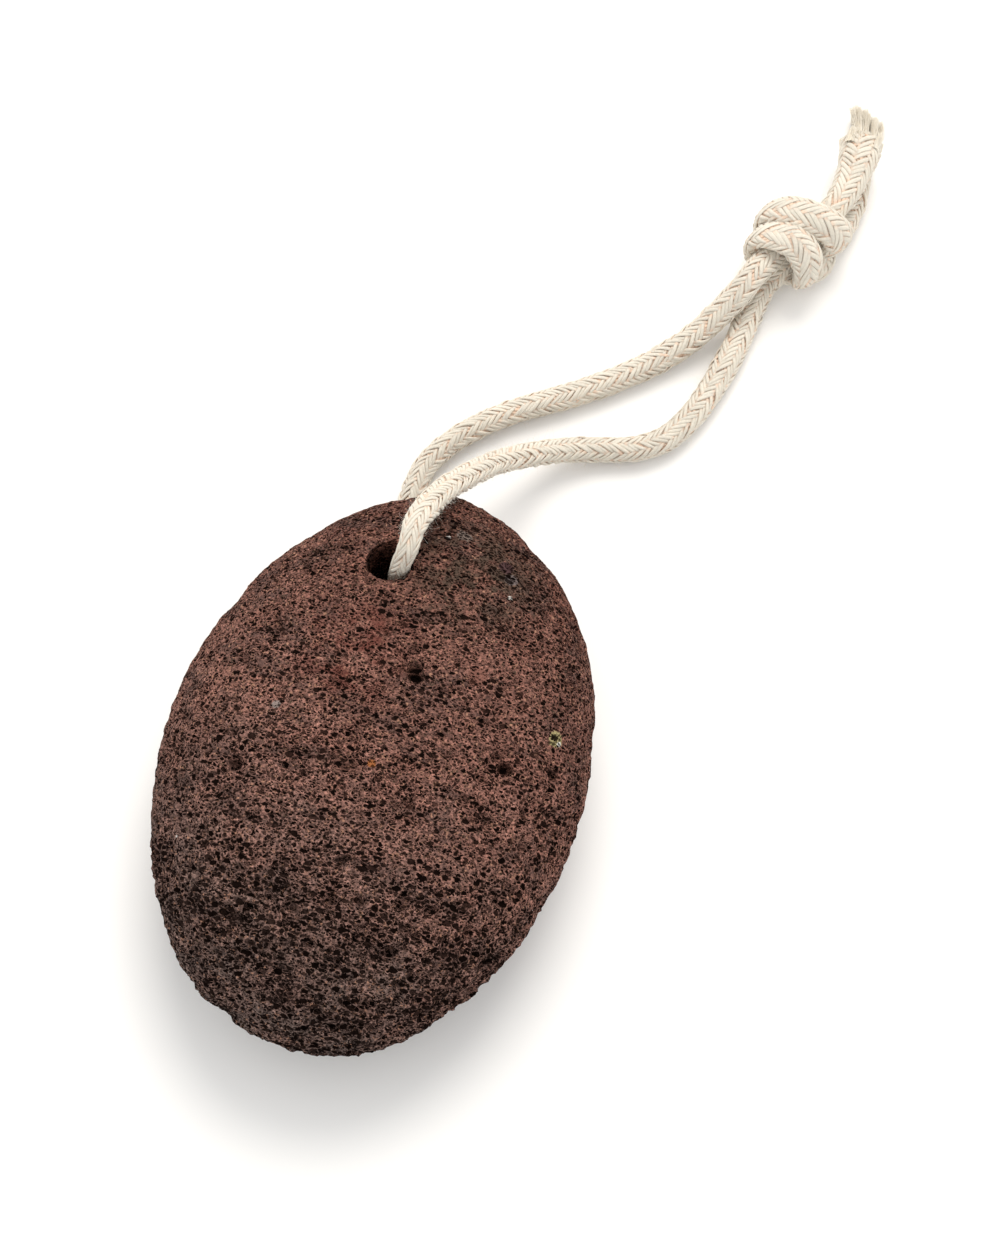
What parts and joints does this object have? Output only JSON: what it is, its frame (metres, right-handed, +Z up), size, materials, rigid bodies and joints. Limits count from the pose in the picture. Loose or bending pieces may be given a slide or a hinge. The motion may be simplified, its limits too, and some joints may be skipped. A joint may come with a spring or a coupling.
{
  "type": "pumice stone",
  "caption": "Oval foot stone of dark reddish-brown porous lava, with a drilled hole and a knotted loop of braided cotton cord to hang it by.",
  "frame": {"origin": "bottom centre of the stone's own box, without its cord: on the table, under the middle of the stone", "axes": "+Y along the stone's long axis, towards the end with the cord hole; +Z up, through the stone's thickness; +X across it"},
  "size_m": [0.0824, 0.1952, 0.0378],
  "materials": {
    "stone": "rough, open-pored vesicular lava, dark reddish brown turning grey brown, matte",
    "cord": "braided unbleached cotton, soft and slightly fuzzy, matte"
  },
  "bodies": {
    "root": {"pumice_stone": "stone", "cord_loop": "cord", "cord_knot": "cord"}
  },
  "joints": []
}
